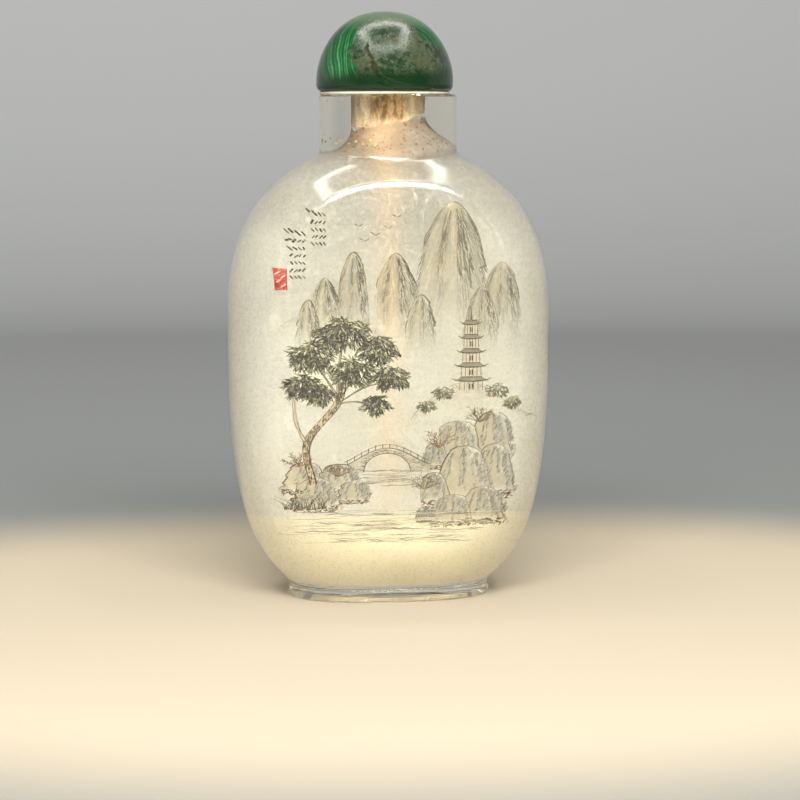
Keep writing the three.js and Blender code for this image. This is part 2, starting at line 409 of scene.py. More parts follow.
def wall_colours(x, y, z):
    """The bare wall: cream, with painted light that makes it paler to the sides and warm at the bottom,
    painted shade over the shoulder, stained by the neck, and a painted glow where the spoon shows through.
    """
    colours = np.broadcast_to(CREAM, (*x.shape, 3))
    for over, share in (
        (EDGE_GLOW_CREAM, soft_step(np.abs(x + 0.5), 10.0, 18.0)),
        (SHOULDER_SHADE_CREAM, 0.38 * soft_step(z, 24.0, 46.0) + 0.5 * soft_step(z, 46.0, 56.0)),
        (WARM_GLOW, 0.6 * soft_step(-z, -12.6, -11.9) + 0.4 * soft_step(-z, -12.0, -7.0)),
        (STAIN, 0.85 * (soft_step(z, 53.0, 60.5) * by_streak(x, STAIN_WIDTH))),
        (SPOON_GLOW_PEACH, 0.42 * (by_streak(x, STREAK_WIDTH) * soft_step(z, 10.0, 18.0) * soft_step(-y, -2.0, 4.0))),
    ):
        colours = blended(colours, over, share)
    return colours


def store_paint(mesh, colours, bare):
    """Stores a colour for each vertex, and as its alpha how bare the wall is there."""
    layer = mesh.color_attributes.new("paint", "FLOAT_COLOR", "POINT")
    layer.data.foreach_set("color", np.concatenate([colours, bare], -1).astype(np.float32).ravel())


def places(parts, name):
    """Where a mesh's points or faces lie, in millimetres, one row each."""
    flat = np.zeros(len(parts) * 3)
    parts.foreach_get(name, flat)
    return flat.reshape(-1, 3) / MM


rings, inside_from = bottle_rings()
bottle = solid("bottle_glass", rings)
bottle.data.materials.append(clear_glass())
bottle.data.materials.append(ground_wall())
corners = places(bottle.data.vertices, "co")
stained = soft_step(corners[:, 2:], 55.0, 60.5) * by_streak(corners[:, :1], 4.2)
store_paint(bottle.data, wall_colours(*corners.T), 1 - 0.6 * stained)
# The grinding covers the faces inside, from its ragged upper edge down.
face_x, face_y, face_z = places(bottle.data.polygons, "center").T
face_angle = np.arctan2(face_y, face_x)
ragged_top = GROUND_TOP_Z + GROUND_TOP_TILT * np.cos(face_angle) + 0.25 * np.sin(3 * face_angle + 1)
ragged_top = ragged_top + 0.15 * np.sin(11 * face_angle)
is_ground = (np.arange(len(face_z)) // SIDES >= inside_from) & (face_z < ragged_top)
under_foot = (len(rings) - 1) * SIDES  # the number of the first face of the fan there
is_ground[under_foot : under_foot + SIDES] = False
bottle.data.polygons.foreach_set("material_index", is_ground.astype(np.int32))
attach(bottle, "root")
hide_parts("bottle")

# ---- The painting ----
# Thin ink and washes laid on the ground wall from inside with a bent brush: far pillars of rock
# in mist, a tower on a hill, a leaning tree, a bridge and blocks of cliff by the water. Every
# stroke lies a few hundredths of a millimetre in front of the wall, later strokes foremost.

FIRST_LAYER = 0.020  # from the wall to the first stroke
LAYER_STEP = 0.0000035  # and from each stroke to the next
brush = np.random.default_rng(11)
INK = np.array([0.012, 0.010, 0.006])
GREY_INK = np.array([0.060, 0.054, 0.037])
BROWN_INK = np.array([0.090, 0.055, 0.028])
RUST = np.array([0.090, 0.045, 0.022])
STONE_WASH = np.array([0.26, 0.222, 0.142])
HILL_WASH = np.array([0.33, 0.285, 0.185])
LEAF_INK = np.array([0.014, 0.014, 0.009])
BARK_WASH = np.array([0.36, 0.29, 0.19])
MIST_Z = 32.5  # the pillars' feet are lost in mist here
STROKE_POINTS = 24
LIMB_TIP = 0.35  # the width of a limb's tip, as a share of its foot
TWIGS = 14
CLIFF_POWER = 8.0  # how flat the top of a block of cliff is
CLIFF_TAPER = 0.25


def hollow_depth(x, z):
    """Depth of the hollow's wall at a place: halves the range of the angle until radius times cosine is x."""
    low, high = np.zeros(x.shape), np.full(x.shape, np.pi)
    for _ in range(26):
        angle = (low + high) / 2
        too_far = inside_radius(angle, z) * np.cos(angle) > x
        low, high = np.where(too_far, angle, low), np.where(too_far, high, angle)
    return inside_radius(low, z) * np.sin(low)


def line(x, z):
    """Points (x, z) from values across and values up, each spread to the other's shape."""
    return np.stack(np.broadcast_arrays(x, z), -1)


class Brushwork:
    """Strokes gathered for one side of the bottle, then made into one mesh."""

    def __init__(self, side):
        self.side = side  # -1 paints the front and 1 the back
        self.points, self.faces, self.colours, self.bare = [], [], [], []
        self.count = 0  # of points
        self.strokes = 0

    def lay(self, paths, widths, colours, share=1.0):
        """Adds strokes along paths of (x, z), or one along one path, half of each width to either side."""
        paths = np.array(paths, float, ndmin=3)
        widths = np.broadcast_to(widths, paths.shape[:2])[..., None]
        way = np.gradient(paths, axis=1)
        way /= np.maximum(1e-9, np.linalg.norm(way, axis=-1, keepdims=True))
        off = line(-way[..., 1], way[..., 0]) * widths / 2
        self.fill(paths - off, paths + off, colours, share, across=1, bare=0.0)

    def fill(self, left, right, colours, share, across, bare=1.0):
        """Adds sheets between edges. Share mixes the colour with the wall's own, and bare keeps its glow."""
        left, right = (np.array(edge, float, ndmin=3) for edge in (left, right))
        total, along = left.shape[:2]
        spread = np.linspace(0, 1, across + 1)[:, None]
        flat = left[:, :, None] * (1 - spread) + right[:, :, None] * spread
        x, z = flat[..., 0], flat[..., 1]
        layer = FIRST_LAYER + LAYER_STEP * (self.strokes + np.arange(total))[:, None, None]
        y = self.side * (hollow_depth(x, z) + layer)
        colours = np.broadcast_to(colours, (total, along, 3))[:, :, None]
        share = np.broadcast_to(np.broadcast_to(share, (total, along))[:, :, None], x.shape)
        self.points.append(np.stack([x, y, z], -1).reshape(-1, 3))
        self.colours.append(blended(wall_colours(x, y, z), colours, share).reshape(-1, 3))
        self.bare.append((1 - share * (1 - bare)).reshape(-1, 1))
        stroke, step, column = (i.ravel() for i in np.mgrid[0:total, 0 : along - 1, 0:across])
        a = self.count + (stroke * along + step) * (across + 1) + column
        quads = np.stack([a, a + 1, a + across + 2, a + across + 1], -1)
        self.faces.append(quads if self.side < 0 else quads[:, ::-1])
        self.count += x.size
        self.strokes += total

    def piece(self, name):
        """Makes the mesh, with its colours stored at its points."""
        made = mesh_object(name, np.concatenate(self.points), np.concatenate(self.faces).tolist())
        made.data.shade_smooth()
        store_paint(made.data, np.concatenate(self.colours), np.concatenate(self.bare))
        made.data.materials.append(bottle.data.materials[1])
        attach(made, "root")


def some(low, high, count):
    """A random number from low to high for each stroke, in a column."""
    return brush.uniform(low, high, (count, 1))


def wander(count, length, size, waves=5):
    """Smooth random shifts along each stroke: a few sines of random phase, the finer the smaller."""
    t = np.linspace(0, 1, length)
    total = np.zeros((count, length))
    for wave in range(1, waves + 1):
        phase = some(0, 2 * np.pi, count)
        total += np.sin(2 * np.pi * wave * t * some(0.7, 1.3, count) + phase) / wave
    return size * total


def varied(colour, count, spread=0.25):
    """One colour for each stroke, lighter or darker than a given one by up to a spread."""
    return (colour * some(1 - spread, 1 + spread, count))[:, None]


def dabs(work, x, z, heading, length, width, colour, bend=0.0, share=1.0):
    """Short strokes with pointed ends, each an arc about its middle."""
    columns = (np.reshape(value, (-1, 1)) for value in (x, z, heading, length, width, bend))
    x, z, heading, length, width, bend = columns
    t = np.linspace(-0.5, 0.5, 5)
    along = length * t
    sag = length * bend * (0.25 - t**2)
    path_x = x + np.cos(heading) * along - np.sin(heading) * sag
    path_z = z + np.sin(heading) * along + np.cos(heading) * sag
    swell = 0.15 + 0.85 * np.sqrt(1 - (2 * t) ** 2)
    work.lay(line(path_x, path_z), width * swell, colour, share)


def drawn(work, corners, width, colour, shake):
    """One stroke through given corners, rounded by cubic steps, with a shaking hand and a tapering tip."""
    path = smooth_through(corners, np.linspace(0, len(corners) - 1, STROKE_POINTS))
    path = path + line(wander(1, STROKE_POINTS, shake)[0], wander(1, STROKE_POINTS, shake)[0])
    end = np.linspace(0, 1, STROKE_POINTS)
    swell = 1 - (1 - LIMB_TIP) * end**2 + wander(1, STROKE_POINTS, 0.12)[0]
    work.lay(path, np.maximum(0.15, swell) * width, colour)


def smooth_through(corners, t):
    """A curve through evenly numbered corners, each stretch a cubic whose slopes follow its neighbours."""
    padded = np.concatenate([[2 * corners[0] - corners[1]], corners, [2 * corners[-1] - corners[-2]]])
    i = np.clip(np.floor(t).astype(int), 0, len(corners) - 2)
    s = (t - i)[:, None]
    p0, p1, p2, p3 = (padded[i + k] for k in range(4))
    return p1 + 0.5 * s * (p2 - p0 + s * (2 * p0 - 5 * p1 + 4 * p2 - p3 + s * (3 * (p1 - p2) + p3 - p0)))


def outlined(work, paths, width, colour, share=1.0, breaks=0.35):
    """Long strokes whose width comes and goes, as a brush presses and lifts."""
    paths = np.array(paths, ndmin=3)
    press = 0.75 + wander(*paths.shape[:2], breaks)
    work.lay(paths, np.maximum(0.12, press) * width, colour, share)


def angular(way):
    """Two jagged sides for a rock: random bulges and hollows joined by straight lines."""
    corners = np.sort(brush.random((2, 9)), axis=1)
    return np.stack([np.interp(way, row, brush.uniform(-0.16, 0.10, 9)) for row in corners])


def rock_sides(way, centre, shape, z, fineness, turn):
    """A rock's two jagged edges, and the line down its front from which it turns away into shade."""
    ragged = angular(way) + wander(2, len(way), 0.02, fineness)
    left, right = centre - shape * (1 + ragged[0]), centre + shape * (1 + ragged[1])
    return [line(x, z) for x in (left, right, centre + (turn + 0.8 * ragged[0]) * shape)]


def pillar_share(way):
    """How wide a pillar is at a share of its height: 1 minus a power of it, to a power."""
    return (1 - way**3.4) ** 0.62


def pillar(work, middle, top, half_width, lean):
    """A steep rock pillar with ragged sides, its foot lost in mist."""
    way = np.linspace(0, 1, 60)
    shape = half_width * pillar_share(way)
    height = top - MIST_Z
    left, right, turned_away = rock_sides(way, middle + lean * way, shape, MIST_Z + height * way, 12, 0.22)
    mist = soft_step(way, 0.05, 0.75)
    work.fill(left, right, HILL_WASH, mist, 14, 0.4)
    work.fill(turned_away, right, GREY_INK * 1.8, 0.42 * mist * (1 - way**5), 8, 0.3)
    for side, press in ((left, 0.15), (right, 0.22)):
        outlined(work, side, press, GREY_INK, soft_step(way, 0.08, 0.6))
    count = int(160 * half_width)
    start, across, span = some(0.12, 0.97, count), some(-0.96, 0.96, count), some(0.03, 0.13, count)
    t = np.linspace(0, 1, 7)
    h = np.clip(start - span * t, 0.02, 0.995)
    x = middle + lean * h + across * (1 + 0.12 * t) * half_width * pillar_share(h)
    x = x + wander(count, 7, 0.05)
    folds = np.sin(9 * across + 2.5 * middle) * 0.35
    shade = 0.4 + folds + 0.4 * (across > 0.15) + 0.3 * brush.random((count, 1))
    share = soft_step(start, 0.1, 0.7) * np.clip(shade, 0.05, 1)
    width = some(0.06, 0.16, count) * (0.3 + 0.7 * np.sin(np.pi * np.linspace(0.1, 0.95, 7)))
    work.lay(line(x, MIST_Z + height * h), width, varied(GREY_INK, count), share)


def far_range(work, left, right, base, height, folds, share):
    """A low range far off: a ridge made of folds, washed darker at its crest than at its foot."""
    x = np.linspace(left, right, 90)
    way = np.linspace(0, 1, 90)
    folded = 0.35 + 0.65 * np.abs(np.sin(np.pi * folds * way + 0.4))
    ridge = base + height * folded * np.sin(np.pi * way) ** 0.6 + wander(1, 90, 0.12, 8)[0]
    rows = np.linspace(0, 1, 7)
    upright = line(x[:, None], base + (ridge - base)[:, None] * rows)
    work.fill(upright[:-1], upright[1:], HILL_WASH, share * rows**1.5, 1)
    outlined(work, line(x, ridge), 0.11, GREY_INK, 0.7 * share)
    count = int(7 * (right - left))
    at = some(left + 0.5, right - 0.5, count)
    crest = np.interp(at, x, ridge)
    drop = brush.random((count, 1)) ** 1.5
    heading = -0.6 * np.sign(np.interp(at + 0.2, x, ridge) - crest) + brush.normal(-0.2, 0.25, (count, 1))
    at_z = crest - 0.15 - 0.5 * drop * (crest - base)
    dabs(work, at, at_z, heading, 0.8, 0.08, varied(GREY_INK, count), 0.1, 0.8 * share * (1 - drop))


def boulder(work, middle, base, half_width, height, lean):
    """A block of cliff, flat-topped and ragged, paler in its middle, with folds that run down its front."""
    way = np.linspace(0, 1, 48)
    shape = half_width * (1 - way**CLIFF_POWER) ** 0.5 * (1 - CLIFF_TAPER * way)
    left, right, turned_away = rock_sides(way, middle + lean * way, shape, base + height * way, 10, 0.30)
    foot = soft_step(way, 0.0, 0.35)
    light = 0.86 + 0.30 * np.sin(np.pi * way)[:, None]
    work.fill(left, right, STONE_WASH * light, 0.9 * foot, 12, 0.3)
    work.fill(turned_away, right, BROWN_INK * 1.2, 0.56 * foot * (1 - way**4), 8, 0.2)
    outlined(work, np.concatenate([left, right[::-1]]), 0.16, INK * 2.0, np.concatenate([foot, foot[::-1]]))
    count = int(3 + 3 * half_width)
    t = np.linspace(0, 1, 16)
    across = np.sort(some(-0.8, 0.9, count), axis=0)
    h = 0.97 - 0.12 * np.abs(across) - some(0.45, 0.85, count) * t
    beside = (across + 0.25 * across * t) * half_width * (1 - h**CLIFF_POWER) ** 0.5 * (1 - CLIFF_TAPER * h)
    fold_x = middle + lean * h + beside + wander(count, 16, 0.10)
    fold_z = base + height * h
    outlined(work, line(fold_x, fold_z), 0.12, varied(INK * 3.0, count, 0.3), 1 - 0.6 * t)
    many = count * 44
    which, along = brush.integers(0, count, many), brush.integers(1, 15, many)
    off = brush.uniform(0.05, 0.55, many)
    hatch_x = fold_x[which, along] + off * 0.6
    hatch_z = fold_z[which, along] + brush.normal(0, 0.15, many)
    heading = np.radians(brush.uniform(215, 255, many))
    tone = varied(INK * 3.2, many, 0.5)
    dabs(work, hatch_x, hatch_z, heading, some(0.3, 0.9, many), 0.085, tone, 0.1, (1 - 0.9 * off)[:, None])
    many = int(30 * half_width)
    at = middle + some(-0.9, 0.9, many) * half_width
    foot_z = base + height * 0.16 * brush.random(many)
    heading = brush.normal(0.1, 0.5, many)
    dabs(work, at, foot_z, heading, 0.5, 0.10, varied(BROWN_INK * 0.7, many, 0.5), 0.2)


def clump(work, x, z, half_width, half_height, count, colour, length, width):
    """Leaves in an oval clump: strokes that fan out from above its middle, paler towards its top."""
    angle = brush.uniform(0, 2 * np.pi, count)
    way = np.sqrt(brush.random(count)) * (1 + 0.14 * np.sin(5 * angle + x))
    leaf_x, leaf_z = x + half_width * way * np.cos(angle), z + half_height * way * np.sin(angle)
    out = np.arctan2(leaf_z - (z + 0.9 * half_height), leaf_x - x)
    heading = out + brush.normal(0, 0.45, count)
    deep = brush.uniform(0.4, 2.0, count) * (1 + 0.5 * (leaf_z - z) / half_height)
    tone = colour * np.clip(deep, 0.4, 3.0)[:, None, None]
    size, thick = length * some(0.65, 1.2, count), width * some(0.7, 1.2, count)
    dabs(work, leaf_x, leaf_z, heading, size, thick, tone, brush.normal(0, 0.15, count))


def branch(work, corners, width):
    """A limb: a pale brown stroke between two dark ones that come and go."""
    edge = 0.46 * width
    for off, thick, colour, shake in (
        ((0, 0), width, BARK_WASH, 0.03),
        ((edge, -0.03), 0.10 + 0.14 * width, INK * 1.5, 0.05),
        ((-edge, -0.03), 0.08 + 0.08 * width, INK * 1.5, 0.05),
    ):
        drawn(work, np.add(corners, off), thick, colour, shake)


def tree(work, foot, height, lean, clumps):
    """An old leaning tree: a trunk that bends twice, pale leaves behind its branches, dark ones in front."""
    trunk = np.add(foot, [(0, 0), (-0.9, 0.36 * height), (0.75 * lean, 0.70 * height), (lean, height)])
    for cx, cz, w, h in clumps:
        clump(work, cx, cz - 0.1, w * 1.05, h * 1.05, int(26 * w * h) + 16, LEAF_INK * 14, 1.2, 0.24)
    for cx, cz, w, h in clumps:
        start = trunk[2] if abs(cx - foot[0]) > 1.5 else trunk[2] + [0.1, 0.8]
        middle = ((start[0] + cx) / 2 - 0.2, (start[1] + cz) / 2 + 0.35)
        branch(work, [start, middle, (cx, cz - 0.2 * h)], 0.24)
    branch(work, trunk, 0.95)
    branch(work, np.add(foot, [(-0.9, 0.34 * height), (-2.2, 0.52 * height), (-2.6, 0.76 * height)]), 0.4)
    knots = 170
    knot = smooth_through(trunk, brush.uniform(0.02, 2.7, knots))
    knot[:, 0] += brush.uniform(-0.32, 0.32, knots)
    dabs(work, *knot.T, some(1.0, 2.0, knots), 0.5, 0.11, varied(INK * 2, knots), 0.3)
    for cx, cz, w, h in clumps:
        clump(work, cx, cz, w, h, int(33 * w * h) + 20, LEAF_INK, 1.2, 0.18)


def shrub(work, x, z, size, colour):
    """A bare shrub: twigs that fan up from one place, each with short side twigs and dots of leaf."""
    spread = (np.linspace(-1.1, 1.1, TWIGS) + brush.normal(0, 0.12, TWIGS))[:, None]
    reach = size * some(0.7, 1.15, TWIGS)
    t = np.linspace(0, 1, 8)
    path_x = x + reach * np.sin(spread) * t**0.85 + wander(TWIGS, 8, 0.05)
    path_z = z + reach * np.cos(spread) * t * (1 - 0.15 * t) + wander(TWIGS, 8, 0.05)
    work.lay(line(path_x, path_z), 0.11 * (1 - 0.65 * t), varied(colour, TWIGS, 0.35))
    many = TWIGS * 5
    which, way = brush.integers(0, TWIGS, many), brush.integers(3, 8, many)
    heading = np.pi / 2 - spread[which, 0] + brush.choice([-0.7, 0.7], many)
    length = 0.3 * size * brush.uniform(0.4, 1.0, many)
    tip_x = path_x[which, way] + 0.4 * length * np.cos(heading)
    tip_z = path_z[which, way] + 0.4 * length * np.sin(heading)
    dabs(work, tip_x, tip_z, heading, length, 0.075, varied(colour * 1.1, many, 0.4), 0.15)


def eave(work, x, z, half_width, rise, width):
    """A roof's edge: level in the middle, its ends turned up as a cube of the way out."""
    t = np.linspace(-1, 1, 21)
    path = line(x + half_width * t, z + rise * np.abs(t) ** 3)
    work.lay(path, width * (1 - 0.5 * np.abs(t) ** 4), INK * 1.3)


def tower(work, x, z, storeys, half_width, height):
    """A tower whose storeys narrow upwards: walls, posts, rails, tiled roofs, turned-up eaves, a spire."""
    storey = height / storeys
    t = np.array([0.0, 1.0])
    s = np.linspace(0, 1, 6)
    narrowing = 1 - 0.42 * s**0.7
    tiles = np.linspace(-0.95, 0.95, 15)[:, None]
    for level in range(storeys):
        half = half_width * 0.86**level
        floor = z + storey * level
        wall = 0.62 * half
        up = floor + 0.62 * storey * t
        work.fill(line(x - wall, up), line(x + wall, up), HILL_WASH * 1.15, 0.8, 4)
        work.lay(line(x + np.linspace(-wall, wall, 6)[:, None], up), 0.085, varied(BROWN_INK * 0.8, 6))
        work.lay(line(x, floor + (0.08 + 0.36 * t) * storey), 0.34 * wall, varied(INK * 1.4, 1))
        for rail in (0.12, 0.2):
            work.lay(line([x - wall * 1.15, x + wall * 1.15], floor + rail * storey), 0.06, BROWN_INK)
        roof_z = up[1] + 0.30 * storey * s
        left, right = line(x - half * narrowing, roof_z), line(x + half * narrowing, roof_z)
        work.fill(left, right, STONE_WASH * 0.75, 1.0, 6, 0.5)
        tile_z = roof_z + 0.16 * np.abs(tiles) ** 3 * (1 - s)
        work.lay(line(x + half * tiles * narrowing * 0.98, tile_z), 0.06, varied(INK * 2.2, 15))
        eave(work, x, up[1], half * 1.1, 0.22 * storey, 0.17)
        eave(work, x, up[1] + 0.31 * storey, half * 0.6, 0.03, 0.13)
    top = z + height
    work.lay(line(x, [top - 0.1, top + 0.6, top + 1.5]), [0.26, 0.15, 0.05], INK * 1.4)
    dabs(work, x, np.add(top, [0.25, 0.55, 0.85]), 0, [0.5, 0.38, 0.26], 0.13, INK)


def bridge(work, left, right, z, crest):
    """A stone bridge: a humped deck and parapet, a round arch that shows the water, courses of stone."""
    x = np.linspace(left, right, 50)
    hump = z + (crest - z) * np.sin(np.pi * (x - left) / (right - left)) ** 1.3
    middle, half = (left + right) / 2, 0.27 * (right - left)
    spring, rise = z - 0.9, crest - z + 0.2
    arch = spring + np.sqrt(np.maximum(0, 1 - ((x - middle) / half) ** 2)) * rise
    under = np.where(np.abs(x - middle) < half, arch, z - 1.0)
    upright = np.stack([line(x, under), line(x, hump)], 1)
    work.fill(upright[:-1], upright[1:], STONE_WASH * 1.05, 0.9, 1)
    for lift, width in ((0.0, 0.14), (0.5, 0.10)):
        outlined(work, line(x, hump + lift), width, INK * 1.6, 1.0, 0.15)
    posts = line(x[2:-2:4, None], hump[2:-2:4, None] + [0, 0.62])
    work.lay(posts, 0.11, varied(INK * 1.7, len(posts)))
    turn = np.linspace(0, np.pi, 30)
    rim = line(middle + half * np.cos(turn), spring + rise * np.sin(turn))
    outlined(work, rim, 0.14, INK * 1.3, 1.0, 0.15)
    wide = (rim - [middle, spring]) * 1.14 + [middle, spring]
    joints = np.stack([rim[2:-2:2], wide[2:-2:2]], 1)
    work.lay(joints, 0.06, varied(INK * 2.6, len(joints)))
    stones = 46
    stone_x = brush.uniform(left + 0.3, right - 0.3, stones)
    top_z = np.interp(stone_x, x, hump) - 0.2
    low_z = np.interp(stone_x, x, np.maximum(under, z - 1.0)) + 0.15
    stone_z = low_z + (top_z - low_z) * brush.random(stones)
    keep = top_z > low_z + 0.1
    kept = keep.sum()
    heading = brush.normal(0, 0.12, kept)
    dabs(work, stone_x[keep], stone_z[keep], heading, 0.55, 0.06, varied(INK * 3, kept))


def water(work, left, right, low, high, count):
    """Ripples: level strokes, long and faint, each a slow wave."""
    z = some(low, high, count)
    middle = left + (right - left) * brush.beta(1.6, 1.6, (count, 1))
    length = some(1.5, 6.5, count)
    t = np.linspace(-0.5, 0.5, 14)
    path = line(middle + length * t, z + wander(count, 14, 0.05, 3))
    width = 0.10 * np.sqrt(np.maximum(0.04, 1 - (2 * t) ** 2))
    work.lay(path, width, GREY_INK, some(0.35, 1.0, count))


def brush_marks(work, x, z, size, rows):
    """A column in place of writing: rows of four short strokes, whose slope turns from row to row."""
    row, place = (i.reshape(-1, 1) for i in np.mgrid[0:rows, 0:4])
    slant = np.where(row % 2, 0.8, 2.3) + brush.normal(0, 0.12, row.shape)
    mark_x = x + 0.27 * size * (place - 1.5) + brush.normal(0, 0.03, row.shape)
    mark_z = z - 0.50 * size * row + brush.normal(0, 0.05, row.shape)
    length = size * some(0.24, 0.38, row.size) * np.linspace(-0.5, 0.5, 6)
    path = line(mark_x + np.cos(slant) * length, mark_z + np.sin(slant) * length)
    work.lay(path, some(0.16, 0.27, row.size) * [0.5, 1.0, 0.85, 0.8, 1.0, 0.4], INK)


def reeds(work, x, z, count, spread, height, colour):
    """Reeds and grass: blades that rise from the ground and bend over."""
    foot = x + some(-spread, spread, count)
    tall = height * some(0.5, 1.1, count)
    bow = brush.normal(0, 0.45, (count, 1)) * tall
    t = np.linspace(0, 1, 7)
    path = line(foot + bow * t**2, z + tall * (t - 0.12 * t**2))
    work.lay(path, 0.10 * (1 - 0.8 * t), varied(colour, count, 0.4))


front = Brushwork(-1)
far_range(front, -17.0, -1.0, 36.5, 3.6, 2.3, 0.45)
far_range(front, 3.0, 17.5, 34.0, 3.0, 1.6, 0.4)
for spec in (
    (-9.8, 44.4, 2.5, -0.3), (-6.4, 47.8, 2.3, 0.2), (-12.4, 41.4, 1.6, 0.1), (13.4, 46.4, 2.8, 0.5),
    (0.0, 47.6, 3.4, -0.5), (6.8, 54.4, 5.0, 0.6), (11.0, 43.0, 2.3, 0.3), (2.8, 42.0, 2.1, 0.2),
):
    pillar(front, *spec)

# The hill and its tower, right of the middle.
far_range(front, 1.5, 18.0, 25.0, 5.0, 0.9, 0.9)
tower(front, 9.8, 29.0, 5, 2.5, 9.6)
for cx, cz, w, h in (
    (5.9, 28.6, 1.6, 0.9), (13.4, 28.9, 1.7, 1.0), (15.4, 27.2, 1.2, 0.8), (3.7, 26.9, 1.3, 0.8),
):
    clump(front, cx, cz, w, h, 70, LEAF_INK * 9, 0.6, 0.15)
    clump(front, cx, cz - 0.1, w * 0.9, h * 0.8, 60, LEAF_INK * 2.5, 0.5, 0.13)

# The cliff on the right bank, from its far blocks to its near ones.
for spec in (
    (12.4, 19.0, 3.0, 7.0, 0.3), (8.2, 19.2, 3.3, 5.6, -0.2), (4.6, 18.2, 2.0, 3.6, 0.3),
    (12.9, 14.0, 2.6, 7.6, 0.1), (8.8, 13.0, 3.8, 8.4, 0.2), (4.9, 13.4, 2.2, 4.4, -0.2),
    (11.4, 10.6, 3.1, 5.2, 0.0), (6.9, 10.4, 3.0, 4.4, 0.4), (3.6, 11.0, 1.5, 2.2, 0.1),
):
    boulder(front, *spec)
shrub(front, 5.4, 21.2, 2.6, RUST)
shrub(front, 3.4, 15.6, 2.2, RUST * 0.8)
shrub(front, 11.0, 24.6, 2.4, BROWN_INK * 0.7)

# The bridge, and the left bank with its old tree.
bridge(front, -7.6, 4.2, 19.0, 21.3)
for spec in (
    (-12.9, 15.2, 2.5, 4.4, 0.2), (-8.6, 15.2, 3.0, 4.0, 0.2), (-11.2, 12.8, 3.0, 4.6, -0.2),
    (-6.4, 13.8, 2.4, 3.0, 0.2),
):
    boulder(front, *spec)
tree(
    front, (-11.6, 16.6), 15.5, 4.2,
    (
        (-13.0, 29.8, 2.4, 1.5), (-11.9, 33.8, 2.9, 2.0), (-7.6, 36.8, 3.6, 2.1), (-3.0, 34.6, 2.7, 1.9),
        (-1.2, 30.8, 2.5, 1.5), (-6.6, 31.6, 3.0, 1.8), (-10.8, 28.6, 2.0, 1.2), (-3.2, 27.2, 1.9, 1.2),
    ),
)
shrub(front, -13.4, 19.0, 2.1, RUST)
shrub(front, -8.4, 17.6, 1.7, BROWN_INK)
reeds(front, -12.4, 13.2, 60, 2.4, 2.2, GREY_INK * 0.6)
reeds(front, 3.6, 11.8, 30, 1.4, 1.7, GREY_INK * 0.8)
water(front, -12.6, 12.4, 8.4, 13.0, 130)
water(front, -6.0, 3.0, 16.2, 18.4, 34)

# Birds over the range, two wings each, then the pretend inscription and its seal.
for bird_x, bird_z, size in (
    (-3.3, 50.2, 1.0), (-1.6, 51.1, 0.8), (-4.8, 49.4, 0.9), (-0.4, 52.6, 0.65), (-5.6, 51.4, 0.7),
):
    dabs(front, [bird_x - 0.33, bird_x + 0.33], bird_z, [2.65, 0.49], size, 0.11, INK * 1.5, -0.3)
brush_marks(front, -10.9, 52.7, 1.9, 5)
brush_marks(front, -13.6, 50.2, 1.9, 7)
SEAL = np.array([0.22, 0.022, 0.020])
SEAL_GAP = np.array([0.80, 0.50, 0.40])
SEAL_X, SEAL_Z = -15.6, 44.2
seal_up = SEAL_Z + np.linspace(-1.5, 1.5, 12)
front.fill(line(SEAL_X - 0.7, seal_up), line(SEAL_X + 0.7, seal_up), SEAL, 1.0, 3, 0.0)
gap_x = np.add(SEAL_X, [-0.3, 0.25, -0.25, 0.3])
gap_z = np.add(SEAL_Z, [0.9, 0.35, -0.25, -0.85])
dabs(front, gap_x, gap_z, 0.7, 0.75, 0.14, SEAL_GAP)
front.piece("painting_front")

# ---- The back's painting ----
# Plainer: one spray of bamboo over a faint hill, in the same ink.

back = Brushwork(1)
far_range(back, -13.0, 14.0, 20.0, 3.5, 1.7, 0.5)
for foot_x, lean_x, top_z in ((5.5, -4.0, 50.0), (8.0, -2.0, 43.0), (3.5, 1.0, 38.0)):
    joints = np.linspace(0, 1, 8)
    for low, high in zip(joints[:-1], joints[1:] - 0.012):  # a small gap at each joint
        stalk = [(foot_x + lean_x * way**1.4, 19.0 + (top_z - 19.0) * way) for way in (low, high)]
        back.lay([stalk], 0.36, GREY_INK)
        tuft = int(brush.integers(0, 9))
        heading = -np.pi / 2 + brush.normal(0.4 - 1.6 * brush.random(), 0.6, tuft)
        reach = brush.uniform(1.6, 2.8, tuft)
        leaf_x = stalk[1][0] + 0.5 * reach * np.cos(heading)
        leaf_z = stalk[1][1] + 0.5 * reach * np.sin(heading)
        dabs(back, leaf_x, leaf_z, heading, reach, 0.42, varied(INK * 1.6, tuft, 0.4), 0.1)
reeds(back, 5.0, 18.6, 60, 7.0, 2.2, GREY_INK)
water(back, -12.0, 12.0, 10.0, 15.0, 50)
back.piece("painting_back")

# ---- Flecks on the neck ----
# Crumbs of old snuff and cement, stuck to the outside of the neck under the lip and at its foot.

FLECK_PROUD = 0.01
FLECK_CORNERS = 10
